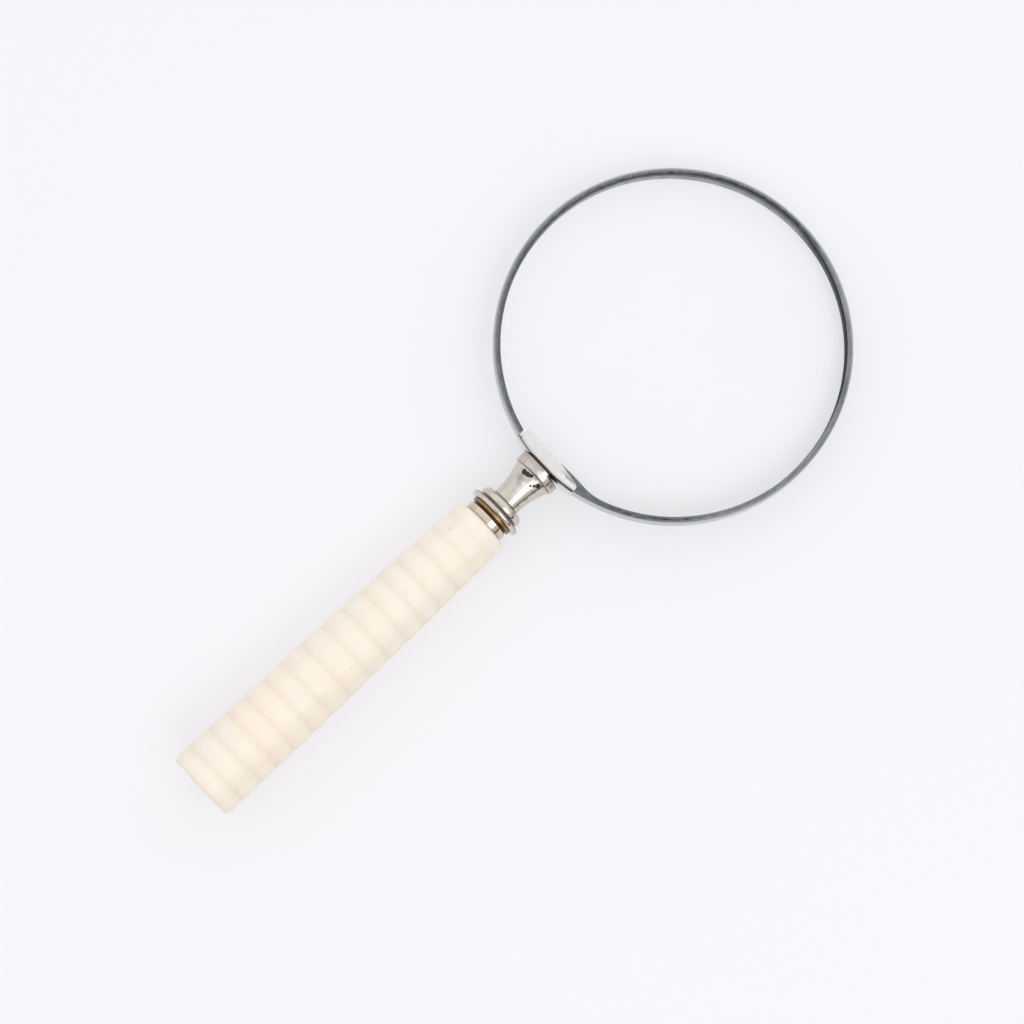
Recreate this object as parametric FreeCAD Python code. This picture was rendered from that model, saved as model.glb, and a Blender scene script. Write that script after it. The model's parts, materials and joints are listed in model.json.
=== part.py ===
import FreeCAD, Part
import math
import os

# Hand-held reading glass: a round lens in a split, rolled steel rim, carried by a saddle and a
# turned stem, on a ribbed ivory-coloured handle that screws onto the stem's threaded rod.
#
# Every piece is drawn in a working frame: X runs along the handle's axis from the butt (x = 0)
# to the rim, Z is the lens's axis, and both axes lie in the plane y = 0. At the end the whole
# object is laid on a table, as it comes to rest: on one rib of the handle and on the rim's far
# edge. Lengths are in millimetres.

# ---- Rim and lens ----
RIM_R = 50.0                # outside radius of the rim
RIM_DEPTH = 8.0             # rim, measured along the lens's axis
RIM_SHEET = 0.7             # thickness of the rim's strip
ROLL_R = 0.9                # outside radius of the rim's rolled edges
ROLL_ANGLE = 147.0          # how far each edge is rolled over, degrees
RIM_SPLIT = 1.2             # gap between the rim's two ends

LENS_R = 48.8
LENS_EDGE = 5.2             # glass thickness at the lens's edge
LENS_POWER = 2.25           # dioptres
GLASS_INDEX = 1.52
LENS_BEVEL = 0.4
LINER_WALL = 0.42           # liner between the glass edge and the rim
LINER_LEG = 0.5             # thickness of the liner's legs, over and under the glass
LINER_SHOWS = 0.45          # how far the legs reach past the rolled edges, towards the middle

# ---- Saddle, the clip that covers the rim's split ----
SADDLE_SHEET = 0.6
SADDLE_HALF_LENGTH = 10.9
SADDLE_CHORD = 46.0         # distance of its straight inner edges from the lens's axis
SADDLE_CORNER_R = 1.3
SEAT_GAP = 0.05             # clearance between pieces that are pressed or slid together

# ---- Handle and stem: places along the handle's axis ----
HANDLE_END = 106.3          # the handle's thin end
FERRULE_END = 108.6
SPACER_END = 110.3
FLANGE_END = 111.9
BEAD_END = 114.8
STEM_END = 125.2            # widest end of the trumpet-shaped stem
RIM_CENTRE = 178.8          # the lens's axis

BUTT_R = 10.6
THIN_END_R = 8.65
RIB_WIDTHS = (5.6, 7.0, 6.4, 6.5, 7.1, 6.5, 7.6, 7.7, 7.0, 7.1, 6.5, 6.3, 7.0, 6.6, 5.9, 5.5)
RIB_HEIGHT = 0.42           # crest of a rib above the grooves beside it
FLAT_RIBS = 2               # the last ribs are rubbed down ...
FLAT_RIB_HEIGHT = 0.2       # ... to this height
BUTT_ROUND = 0.7            # rounding of the butt's edge
NOSE_ROUND = 1.3            # rounding of the thin end's edge
REST_RIB = 16               # the rib that touches the table, counted from the butt

FERRULE_R = 6.5
SPIGOT_R = 5.0              # the part of the ferrule that is sunk in the handle
SPIGOT_LENGTH = 8.0
SPACER_R = 6.75
SPACER_GROOVE_R = 6.2
FLANGE_R = 8.3
BEAD_R = 6.95
BEAD_ROOT_R = 6.1
STEM_THIN_R = 4.3
STEM_WIDE_R = 6.3
BOSS_R = 6.8
BOSS_ROUND = 0.5

# ---- Screw threads, drawn as plain cylinders at their nominal size ----
STUD_R = 2.15               # split stud on the rim's ends, screwed into the stem
STUD_REACH = 6.2            # how far the stud enters the stem
STUD_SLOT = 0.7             # gap between the stud's halves
ROD_R = 2.4                 # threaded rod between the stem and the handle
ROD_IN_STEM = 6.0
THREAD_GAP = 0.07           # radial play in the handle's thread
ROD_PLAY = 0.2              # radial play where the rod only passes through
THREAD_TRAVEL = 8.0         # length of rod that the handle's bush grips
BUSH_R = 4.0
BUSH_LENGTH = 14.0
FACE_GAP = 0.05             # between the faces that part when the handle is unscrewed

# ---- Worked out from the dimensions above ----
HALF_DEPTH = RIM_DEPTH / 2
ROLL_CENTRE_R = RIM_R - ROLL_R
ROLL_CENTRE_Z = HALF_DEPTH - ROLL_R
LIP_R = ROLL_CENTRE_R + ROLL_R * math.cos(math.radians(ROLL_ANGLE))
LENS_SURFACE_R = 2000.0 * (GLASS_INDEX - 1.0) / LENS_POWER
LINER_INNER_R = LIP_R - LINER_SHOWS
SADDLE_R = RIM_R + SEAT_GAP + SADDLE_SHEET
SADDLE_HALF_DEPTH = HALF_DEPTH + SEAT_GAP + SADDLE_SHEET
SPIGOT_END = HANDLE_END - SPIGOT_LENGTH

X_AXIS = FreeCAD.Vector(1, 0, 0)
Y_AXIS = FreeCAD.Vector(0, 1, 0)
Z_AXIS = FreeCAD.Vector(0, 0, 1)
ORIGIN = FreeCAD.Vector(0, 0, 0)
RIM_MIDDLE = FreeCAD.Vector(RIM_CENTRE, 0, 0)


def point(along, out):
    """A point of an outline: along the X axis, and out from it."""
    return FreeCAD.Vector(along, 0, out)


def rim_point(radius, height):
    """A point of a section of the rim: its distance from the lens's axis, and its height."""
    return FreeCAD.Vector(RIM_CENTRE + radius, 0, height)


def line(start, end):
    return Part.LineSegment(start, end).toShape()


def arc(start, through, end):
    return Part.Arc(start, through, end).toShape()


def polyline(points):
    return [line(a, b) for a, b in zip(points, points[1:])]


def face_of(edges):
    """The flat face inside a closed outline, whose edges may come in any order."""
    return Part.Face(Part.Wire(Part.sortEdges(edges)[0]))


def turned(edges):
    """The solid that a closed outline sweeps round the handle's axis."""
    return face_of(edges).revolve(ORIGIN, X_AXIS, 360)


def round_the_lens(edges):
    """The solid that a closed section sweeps round the lens's axis."""
    return face_of(edges).revolve(RIM_MIDDLE, Z_AXIS, 360)


def rod(radius, start, end):
    """A cylinder on the handle's axis."""
    return Part.makeCylinder(radius, end - start, FreeCAD.Vector(start, 0, 0), X_AXIS)


def drum(radius, half_depth):
    """A cylinder on the lens's axis."""
    foot = FreeCAD.Vector(RIM_CENTRE, 0, -half_depth)
    return Part.makeCylinder(radius, 2 * half_depth, foot, Z_AXIS)


def block(low, high):
    size = high - low
    return Part.makeBox(size.x, size.y, size.z, low)


# ---- Lens ----
def glass_height(radius):
    """Half the lens's thickness at a distance from its axis."""
    edge_drop = LENS_SURFACE_R - math.sqrt(LENS_SURFACE_R ** 2 - LENS_R ** 2)
    drop = LENS_SURFACE_R - math.sqrt(LENS_SURFACE_R ** 2 - radius ** 2)
    return LENS_EDGE / 2 + edge_drop - drop


def lens():
    bevel_r = LENS_R - LENS_BEVEL
    bevel_z = glass_height(bevel_r)
    edge_z = bevel_z - LENS_BEVEL
    top = rim_point(0, glass_height(0))
    upper = rim_point(bevel_r / 2, glass_height(bevel_r / 2))
    lower = rim_point(bevel_r / 2, -glass_height(bevel_r / 2))
    bottom = rim_point(0, -glass_height(0))
    rim_side = [rim_point(bevel_r, bevel_z), rim_point(LENS_R, edge_z)]
    rim_side += [rim_point(LENS_R, -edge_z), rim_point(bevel_r, -bevel_z)]
    edges = [arc(top, upper, rim_side[0])] + polyline(rim_side)
    edges += [arc(rim_side[-1], lower, bottom), line(bottom, top)]
    return round_the_lens(edges)


def lens_liner():
    """A channel of soft black strip round the edge of the glass."""
    inside_z = glass_height(LINER_INNER_R)
    outside_z = inside_z + LINER_LEG
    wall_r = LENS_R + LINER_WALL
    corners = [
        rim_point(LINER_INNER_R, inside_z),
        rim_point(LINER_INNER_R, outside_z),
        rim_point(wall_r, outside_z),
        rim_point(wall_r, -outside_z),
        rim_point(LINER_INNER_R, -outside_z),
        rim_point(LINER_INNER_R, -inside_z),
        rim_point(LENS_R, -inside_z),
        rim_point(LENS_R, inside_z),
    ]
    return round_the_lens(polyline(corners + corners[:1]))


# ---- Rim ----
def roll_point(radius, angle, side):
    """A point of a rolled edge; side is 1 for the upper edge and -1 for the lower one."""
    turn = math.radians(angle)
    height = ROLL_CENTRE_Z + radius * math.sin(turn)
    return rim_point(ROLL_CENTRE_R + radius * math.cos(turn), side * height)


def rolled_edge(side):
    """Outer arc, end face and inner arc of one rolled edge, from outside to inside."""
    inner_r = ROLL_R - RIM_SHEET
    outer = [roll_point(ROLL_R, angle, side) for angle in (0, ROLL_ANGLE / 2, ROLL_ANGLE)]
    inner = [roll_point(inner_r, angle, side) for angle in (ROLL_ANGLE, ROLL_ANGLE / 2, 0)]
    return [arc(*outer), line(outer[-1], inner[0]), arc(*inner)]


def rim_band():
    outside = [roll_point(ROLL_R, 0, side) for side in (-1, 1)]
    inside = [roll_point(ROLL_R - RIM_SHEET, 0, side) for side in (1, -1)]
    edges = [line(*outside)] + rolled_edge(1) + [line(*inside)] + rolled_edge(-1)
    ring = round_the_lens(edges)
    low = FreeCAD.Vector(RIM_CENTRE - RIM_R - 1, -RIM_SPLIT / 2, -RIM_DEPTH)
    high = FreeCAD.Vector(RIM_CENTRE - LIP_R + 2, RIM_SPLIT / 2, RIM_DEPTH)
    return ring.cut(block(low, high))


def rim_stud(side):
    """Half of the split stud that is brazed to the rim's ends; side is 1 or -1."""
    start = STEM_END - STUD_REACH
    whole = rod(STUD_R, start, RIM_CENTRE - RIM_R + 1)
    near = side * STUD_SLOT / 2
    far = side * (STUD_R + 1)
    low = FreeCAD.Vector(start - 1, min(near, far), -STUD_R - 1)
    high = FreeCAD.Vector(RIM_CENTRE - RIM_R + 2, max(near, far), STUD_R + 1)
    return whole.common(block(low, high)).cut(drum(RIM_R, RIM_DEPTH))


# ---- Saddle and boss ----
def rounded_drum(radius, half_depth, corner_r):
    """A cylinder on the lens's axis with rounded edges."""
    middle = corner_r * math.sqrt(0.5)
    arcs = []
    for side in (1, -1):
        arcs.append(arc(
            rim_point(radius, side * (half_depth - corner_r)),
            rim_point(radius - corner_r + middle, side * (half_depth - corner_r + middle)),
            rim_point(radius - corner_r, side * half_depth),
        ))
    top = rim_point(0, half_depth)
    bottom = rim_point(0, -half_depth)
    edges = arcs + [
        line(rim_point(radius, corner_r - half_depth), rim_point(radius, half_depth - corner_r)),
        line(rim_point(radius - corner_r, half_depth), top),
        line(top, bottom),
        line(bottom, rim_point(radius - corner_r, -half_depth)),
    ]
    return round_the_lens(edges)


def saddle():
    """A clip of folded sheet over both edges of the rim, open towards the glass."""
    fold_r = ROLL_R + SEAT_GAP
    outside = rounded_drum(SADDLE_R, SADDLE_HALF_DEPTH, fold_r + SADDLE_SHEET)
    inside = rounded_drum(RIM_R + SEAT_GAP, HALF_DEPTH + SEAT_GAP, fold_r)
    low = FreeCAD.Vector(RIM_CENTRE - SADDLE_R - 1, -SADDLE_HALF_LENGTH, -SADDLE_HALF_DEPTH - 1)
    high = FreeCAD.Vector(RIM_CENTRE - SADDLE_CHORD, SADDLE_HALF_LENGTH, SADDLE_HALF_DEPTH + 1)
    plan = block(low, high)
    corners = [e for e in plan.Edges if is_inner_corner(e, high.x)]
    plan = plan.makeFillet(SADDLE_CORNER_R, corners)
    clip = outside.cut(inside).common(plan)
    return clip.cut(rod(STUD_R + SEAT_GAP, STEM_END, RIM_CENTRE - SADDLE_CHORD))


def is_inner_corner(edge, x):
    """True for the upright edges of the saddle's outline at its inner side."""
    box = edge.BoundBox
    return box.ZLength > SADDLE_HALF_DEPTH and abs(box.XMin - x) < SEAT_GAP


def saddle_boss():
    """A short collar between the stem and the saddle, hollowed to the saddle's curve."""
    reach = RIM_CENTRE - RIM_R + 1
    bore_r = STUD_R + SEAT_GAP
    round_middle = BOSS_ROUND * (1 - math.sqrt(0.5))
    edge_arc = arc(
        point(STEM_END, BOSS_R - BOSS_ROUND),
        point(STEM_END + round_middle, BOSS_R - round_middle),
        point(STEM_END + BOSS_ROUND, BOSS_R),
    )
    corners = [point(STEM_END + BOSS_ROUND, BOSS_R), point(reach, BOSS_R), point(reach, bore_r)]
    corners += [point(STEM_END, bore_r), point(STEM_END, BOSS_R - BOSS_ROUND)]
    collar = turned([edge_arc] + polyline(corners))
    return collar.cut(drum(SADDLE_R, RIM_DEPTH))


# ---- Stem ----
def stem_neck():
    """A round bead, then a trumpet that widens towards the rim, bored for two threads."""
    bead = arc(
        point(FLANGE_END, BEAD_ROOT_R),
        point((FLANGE_END + BEAD_END) / 2, BEAD_R),
        point(BEAD_END, BEAD_ROOT_R),
    )
    waist = point(BEAD_END, STEM_THIN_R)
    trumpet = arc(
        waist,
        point(BEAD_END + 0.6 * (STEM_END - BEAD_END), STEM_THIN_R + 0.3 * (STEM_WIDE_R - STEM_THIN_R)),
        point(STEM_END, STEM_WIDE_R),
    )
    edges = [bead, line(point(BEAD_END, BEAD_ROOT_R), waist), trumpet]
    edges += polyline([
        point(STEM_END, STEM_WIDE_R),
        point(STEM_END, 0),
        point(FLANGE_END, 0),
        point(FLANGE_END, BEAD_ROOT_R),
    ])
    stud_hole = rod(STUD_R + SEAT_GAP, STEM_END - STUD_REACH - SEAT_GAP, STEM_END)
    rod_hole = rod(ROD_R + SEAT_GAP, FLANGE_END, FLANGE_END + ROD_IN_STEM)
    return turned(edges).cut(stud_hole).cut(rod_hole)


def flange_collar():
    """A thin collar with a full-round edge, the widest ring of the stem."""
    half = (FLANGE_END - SPACER_END) / 2
    straight_r = FLANGE_R - half
    bore_r = ROD_R + SEAT_GAP
    edge_arc = arc(
        point(SPACER_END, straight_r), point(SPACER_END + half, FLANGE_R), point(FLANGE_END, straight_r)
    )
    corners = [point(FLANGE_END, straight_r), point(FLANGE_END, bore_r)]
    corners += [point(SPACER_END, bore_r), point(SPACER_END, straight_r)]
    return turned([edge_arc] + polyline(corners))


def tang_rod():
    """The threaded rod that joins the stem to the handle."""
    return rod(ROD_R, SPIGOT_END - THREAD_TRAVEL, FLANGE_END + ROD_IN_STEM - SEAT_GAP)


def spacer_ring():
    """A brass ring with a shallow groove, between the handle's ferrule and the flange."""
    end = SPACER_END - FACE_GAP
    lip = (end - FERRULE_END) / 4
    bore_r = ROD_R + ROD_PLAY
    groove = arc(
        point(FERRULE_END, SPACER_GROOVE_R),
        point((FERRULE_END + end) / 2 - lip, SPACER_GROOVE_R - lip / 2),
        point(end - 2 * lip, SPACER_R),
    )
    corners = [point(end - 2 * lip, SPACER_R), point(end, SPACER_R), point(end, bore_r)]
    corners += [point(FERRULE_END, bore_r), point(FERRULE_END, SPACER_GROOVE_R)]
    return turned([groove] + polyline(corners))


# ---- Handle ----
def rib_edges():
    """Where the ribs meet, counted from the butt, starting and ending at the handle's ends."""
    places = [0.0]
    for width in RIB_WIDTHS:
        places.append(places[-1] + width)
    return places


def crest_r(along):
    """Radius over the ribs: the handle narrows slowly at first, and faster to the thin end."""
    return BUTT_R - (BUTT_R - THIN_END_R) * (along / HANDLE_END) ** 2


def rib_height(number):
    """Height of a rib above its grooves; the ribs are numbered from 1 at the butt."""
    return FLAT_RIB_HEIGHT if number > len(RIB_WIDTHS) - FLAT_RIBS else RIB_HEIGHT


def handle_grip():
    """The ribbed handle, with a stepped blind hole in its thin end."""
    places = rib_edges()
    count = len(RIB_WIDTHS)
    grooves = [crest_r(x) - rib_height(max(number, 1)) for number, x in enumerate(places)]
    edges = []
    for number in range(1, count + 1):
        start, end = places[number - 1], places[number]
        crest = (start + end) / 2
        edges.append(arc(point(start, grooves[number - 1]), point(crest, crest_r(crest)),
                         point(end, grooves[number])))
    bush_start = SPIGOT_END - BUSH_LENGTH
    edges += polyline([
        point(HANDLE_END, grooves[-1]),
        point(HANDLE_END, SPIGOT_R),
        point(SPIGOT_END, SPIGOT_R),
        point(SPIGOT_END, BUSH_R),
        point(bush_start, BUSH_R),
        point(bush_start, 0),
        point(0, 0),
        point(0, grooves[0]),
    ])
    grip = turned(edges)
    grip = grip.makeFillet(BUTT_ROUND, [outer_circle(grip, 0)])
    return grip.makeFillet(NOSE_ROUND, [outer_circle(grip, HANDLE_END)])


def outer_circle(shape, along):
    """The largest circular edge of a turned solid at a place on its axis."""
    rings = [e for e in shape.Edges if lies_at(e, along)]
    return max(rings, key=lambda e: e.Length)


def lies_at(edge, along):
    box = edge.BoundBox
    return abs(box.XMin - along) < SEAT_GAP and abs(box.XMax - along) < SEAT_GAP


def handle_ferrule():
    """A plated collar on the handle's thin end, with a spigot sunk in the handle."""
    bore_r = ROD_R + ROD_PLAY
    spigot_r = SPIGOT_R - SEAT_GAP / 2
    corners = [
        point(SPIGOT_END, bore_r),
        point(SPIGOT_END, spigot_r),
        point(HANDLE_END, spigot_r),
        point(HANDLE_END, FERRULE_R),
        point(FERRULE_END, FERRULE_R),
        point(FERRULE_END, bore_r),
    ]
    return turned(polyline(corners + corners[:1]))


def tang_bush():
    """The threaded brass bush that is pressed into the handle and grips the rod."""
    start = SPIGOT_END - BUSH_LENGTH
    bush = rod(BUSH_R - SEAT_GAP / 2, start, SPIGOT_END)
    return bush.cut(rod(ROD_R + THREAD_GAP, start, SPIGOT_END))


# ---- Laid on the table ----
def rest_tilt():
    """Angle, in degrees, between the handle's axis and the table when the glass lies down."""
    places = rib_edges()
    rib_x = (places[REST_RIB - 1] + places[REST_RIB]) / 2
    rim_x = RIM_CENTRE + ROLL_CENTRE_R
    drop = crest_r(rib_x) - ROLL_CENTRE_Z
    reach = rim_x - rib_x
    slope = math.atan2(drop, reach)
    return math.degrees(slope - math.asin(ROLL_R / math.hypot(drop, reach)))


def laid_down(shapes):
    """Tilt the whole object onto the table and put the origin under the middle of its box."""
    for shape in shapes.values():
        shape.rotate(ORIGIN, Y_AXIS, rest_tilt())
    box = Part.makeCompound(list(shapes.values())).optimalBoundingBox(False, False)
    shift = FreeCAD.Vector(-box.Center.x, -box.Center.y, -box.ZMin)
    for shape in shapes.values():
        shape.translate(shift)
    return shift


PIECES = {
    "lens": lens,
    "lens_liner": lens_liner,
    "rim_band": rim_band,
    "rim_stud_left": lambda: rim_stud(1),
    "rim_stud_right": lambda: rim_stud(-1),
    "saddle": saddle,
    "saddle_boss": saddle_boss,
    "stem_neck": stem_neck,
    "flange_collar": flange_collar,
    "tang_rod": tang_rod,
    "spacer_ring": spacer_ring,
    "handle_ferrule": handle_ferrule,
    "tang_bush": tang_bush,
    "handle_grip": handle_grip,
}


def main():
    os.makedirs("parts", exist_ok=True)
    shapes = {name: make() for name, make in PIECES.items()}
    shift = laid_down(shapes)
    for name, shape in shapes.items():
        shape.exportStep(os.path.join("parts", name + ".step"))
        print(name, "valid", shape.isValid(), "solids", len(shape.Solids), "volume", round(shape.Volume, 2))
    print("tilt", round(rest_tilt(), 4), "shift", [round(v, 4) for v in shift])


main()
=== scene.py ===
import json
import math

import bmesh
import bpy
import numpy as np
from mathutils import Matrix, Vector


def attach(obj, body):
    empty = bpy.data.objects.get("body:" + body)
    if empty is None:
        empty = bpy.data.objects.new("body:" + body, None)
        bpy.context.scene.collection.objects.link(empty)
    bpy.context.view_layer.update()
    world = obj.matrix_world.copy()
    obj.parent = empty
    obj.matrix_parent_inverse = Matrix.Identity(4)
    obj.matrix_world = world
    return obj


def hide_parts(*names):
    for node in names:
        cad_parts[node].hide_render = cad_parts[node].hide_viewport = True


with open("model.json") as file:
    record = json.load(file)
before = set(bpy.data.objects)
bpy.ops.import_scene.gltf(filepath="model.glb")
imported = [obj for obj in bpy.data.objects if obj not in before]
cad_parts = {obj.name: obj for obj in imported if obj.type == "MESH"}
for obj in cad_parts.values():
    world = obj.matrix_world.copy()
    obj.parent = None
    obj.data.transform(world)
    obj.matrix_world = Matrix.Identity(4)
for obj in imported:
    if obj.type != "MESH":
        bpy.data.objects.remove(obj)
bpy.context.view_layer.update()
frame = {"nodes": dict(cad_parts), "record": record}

# A reading glass: round lens in a blued steel rim, plated stem, ribbed ivory-coloured handle.
# Shapes are drawn in the part's working frame, in millimetres: X along the handle's axis from
# the butt to the rim, Z the lens's axis. placed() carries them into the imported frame, in metres.
MM = 0.001
SCENE = bpy.context.scene

# ---- Dimensions: as in the CAD, but the collars sit 0.35 to 0.45 mm nearer the butt ----
RIM_R, RIM_SHEET = 50.0, 0.7
ROLL_R, ROLL_ANGLE, RIM_SPLIT = 0.9, 147.0, 1.2
ROLL_CENTRE_R, ROLL_CENTRE_Z = 49.1, 3.1
LENS_R, LENS_EDGE, LENS_BEVEL, LENS_SURFACE_R = 48.8, 5.2, 0.4, 462.22
LIP_R = ROLL_CENTRE_R + ROLL_R * math.cos(math.radians(ROLL_ANGLE))
LINER_INNER_R, LINER_WALL, LINER_LEG, WALL_HALF = LIP_R - 0.45, 0.42, 0.5, 1.9
SADDLE_SHEET, SADDLE_HALF_LENGTH, SADDLE_CHORD, SADDLE_CORNER_R = 0.6, 10.9, 46.0, 1.3
SADDLE_R, SADDLE_FOLD_R = 50.65, 0.95
HANDLE_END, FERRULE_END, SPACER_END, FLANGE_END = 105.95, 108.2, 109.9, 111.5
BEAD_END, STEM_END, RIM_CENTRE = 114.35, 125.2, 178.8
BUTT_R, THIN_END_R = 10.6, 8.65
RIB_WIDTHS = (5.6, 7.0, 6.4, 6.5, 7.1, 6.5, 7.6, 7.7, 7.0, 7.1, 6.5, 6.3, 7.0, 6.6, 5.9, 5.5)
RIB_HEIGHT, FLAT_RIBS, FLAT_RIB_HEIGHT = 0.42, 2, 0.2
FERRULE_R, SPIGOT_R, SPIGOT_END, BUSH_R, BUSH_START = 6.5, 5.0, 98.3, 4.0, 84.3
SPACER_R, SPACER_GROOVE_R, FLANGE_R = 6.75, 6.2, 8.3
BEAD_R, BEAD_ROOT_R, STEM_THIN_R, STEM_WIDE_R = 6.95, 6.1, 4.3, 6.3
BOSS_R, BOSS_ROUND = 6.8, 0.5
ROD_R, ROD_START, ROD_END, THREAD_PITCH = 2.4, 90.3, 117.85, 0.8
BORE_R, STUD_BORE_R, CLEARANCE = 2.6, 2.2, 0.05
SPIGOT_FIT, THREAD_DEPTH, NOSE_ROUND, BUTT_ROUND = 0.025, 0.42, 1.7, 1.0
EDGE_REACH = 0.35  # how far round a point edge_value looks, in millimetres
SPOT_WANDER = 1.1  # how far noise moves the outline of a painted spot, from side to side


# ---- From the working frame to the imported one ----
BUTT = next(m for m in frame["record"]["mounts"] if m["name"] == "butt_face")
X_DIR = -Vector(BUTT["axis"]).normalized()
Y_DIR = Vector((0.0, 1.0, 0.0))
Z_DIR = X_DIR.cross(Y_DIR)
BASIS = np.array([X_DIR, Y_DIR, Z_DIR])


def placed(points):
    """Points of the working frame, in millimetres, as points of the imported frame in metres."""
    return np.array(BUTT["pos_m"]) + (np.asarray(points, float) * MM) @ BASIS


# ---- Camera, at the photograph's viewing angle ----
TARGET = placed([[RIM_CENTRE, 0, 0]])[0]
CAMERA_OFFSET = np.array((-144.99, -85.05, 1093.96)) * MM
CAMERA_RIGHT = Vector((0.72665, -0.68701, 0.00205))
CAMERA_BACK = Vector((-0.07335, -0.07461, 0.99451))
SENSOR_WIDTH, FOCAL_LENGTH, CLIP_START, CLIP_END = 36.0, 139.65, 0.05, 20.0


def add_camera():
    camera = bpy.data.objects.new("camera", bpy.data.cameras.new("camera"))
    SCENE.collection.objects.link(camera)
    back = CAMERA_BACK.normalized()
    up = back.cross(CAMERA_RIGHT).normalized()
    right = up.cross(back)
    turn = Matrix((right, up, back)).transposed().to_4x4()
    camera.matrix_world = Matrix.Translation(Vector(TARGET + CAMERA_OFFSET)) @ turn
    camera.data.sensor_width = SENSOR_WIDTH
    camera.data.lens = FOCAL_LENGTH
    camera.data.clip_start = CLIP_START
    camera.data.clip_end = CLIP_END
    SCENE.camera = camera


# ---- Outlines: lists of (along, out) points ----
def arc_points(centre, radius, start, stop, count):
    """Points of an arc, from one angle to another, in degrees."""
    angles = np.radians(np.linspace(start, stop, count))
    return [(centre[0] + radius * math.cos(a), centre[1] + radius * math.sin(a)) for a in angles]


def arc_through(a, b, c, count):
    """Points of the arc from a to c through b."""
    (ax, ay), (bx, by), (cx, cy) = a, b, c
    d = 2 * (ax * (by - cy) + bx * (cy - ay) + cx * (ay - by))
    aa, bb, cc = ax ** 2 + ay ** 2, bx ** 2 + by ** 2, cx ** 2 + cy ** 2
    ux = (aa * (by - cy) + bb * (cy - ay) + cc * (ay - by)) / d
    uy = (aa * (cx - bx) + bb * (ax - cx) + cc * (bx - ax)) / d
    radius = math.hypot(ax - ux, ay - uy)
    turns = [math.degrees(math.atan2(y - uy, x - ux)) for x, y in (a, b, c)]
    for i in (1, 2):
        turns[i] += 360 * round((turns[0] - turns[i]) / 360)
    if not min(turns[0], turns[2]) <= turns[1] <= max(turns[0], turns[2]):
        turns[2] += 360 if turns[2] < turns[0] else -360
    return arc_points((ux, uy), radius, turns[0], turns[2], count)


def rounded(corners, steps=5):
    """A closed outline with each corner rounded; corners are (along, out, radius)."""
    outline = []
    count = len(corners)
    for i, (x, r, radius) in enumerate(corners):
        here = Vector((x, r))
        before = (Vector(corners[i - 1][:2]) - here)
        after = (Vector(corners[(i + 1) % count][:2]) - here)
        if radius <= 0:
            outline.append((x, r))
            continue
        half = before.angle(after) / 2
        reach = min(radius / math.tan(half), before.length * 0.49, after.length * 0.49)
        p, q = here + before.normalized() * reach, here + after.normalized() * reach
        for t in np.linspace(0, 1, steps + 1):
            outline.append(tuple(p.lerp(here, t).lerp(here.lerp(q, t), t)))
    return outline


def refined(outline, step, closed=True):
    """The outline with its long runs divided, so that no run is longer than step."""
    points = list(outline) + ([outline[0]] if closed else [])
    result = []
    for a, b in zip(points, points[1:]):
        parts = max(1, math.ceil(math.dist(a, b) / step))
        run = (b[0] - a[0], b[1] - a[1])
        result += [(a[0] + run[0] * k / parts, a[1] + run[1] * k / parts) for k in range(parts)]
    return result if closed else result + [points[-1]]


def edge_value(outline, reach, closed=True):
    """How far each point of an outline stands out of its neighbourhood (above 0) or lies in a
    hollow of it (below 0), as a share of the neighbourhood's size."""
    p = np.array(outline, float)
    ring = np.vstack([p, p[:1]]) if closed else p
    place = np.concatenate([[0], np.cumsum(np.linalg.norm(np.diff(ring, axis=0), axis=1))])
    total = place[-1]
    at = place[:len(p)]

    def along(s):
        s = np.mod(s, total) if closed else np.clip(s, 0, total)
        return np.stack([np.interp(s, place, ring[:, k]) for k in (0, 1)], 1)
    ahead, behind = along(at + reach), along(at - reach)
    tangent = ahead - behind
    tangent /= np.maximum(np.linalg.norm(tangent, axis=1, keepdims=True), 1e-9)
    normal = np.stack([-tangent[:, 1], tangent[:, 0]], 1)
    area = 0.5 * np.sum(ring[:-1, 0] * ring[1:, 1] - ring[1:, 0] * ring[:-1, 1])
    outward = -1.0 if (area > 0 and closed) else 1.0
    return outward * np.sum((p - (ahead + behind) / 2) * normal, 1) / reach


# ---- Meshes ----
def build(name, points, faces, values, sharp=40.0):
    """A mesh object from points of the working frame. values are named numbers per point."""
    mesh = bpy.data.meshes.new(name)
    points = np.asarray(points, float)
    mesh.from_pydata(placed(points).tolist(), [], [tuple(int(i) for i in f) for f in faces])
    local = mesh.attributes.new("local", "FLOAT_VECTOR", "POINT")
    local.data.foreach_set("vector", points.astype(np.float32).ravel())
    for key, numbers in values.items():
        layer = mesh.attributes.new(key, "FLOAT", "POINT")
        layer.data.foreach_set("value", np.asarray(numbers, np.float32).ravel())
    mesh.validate()
    mesh.update()
    for polygon in mesh.polygons:
        polygon.use_smooth = True
    mesh.set_sharp_from_angle(angle=math.radians(sharp))
    piece = bpy.data.objects.new(name, mesh)
    SCENE.collection.objects.link(piece)
    return piece


def spread(column, count):
    """A value for each point of an outline, repeated for every step of the turn."""
    return np.repeat(column[:, None], count, axis=1)


def clamp01(value):
    """The value kept between 0 and 1."""
    return np.clip(value, 0, 1)


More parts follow.
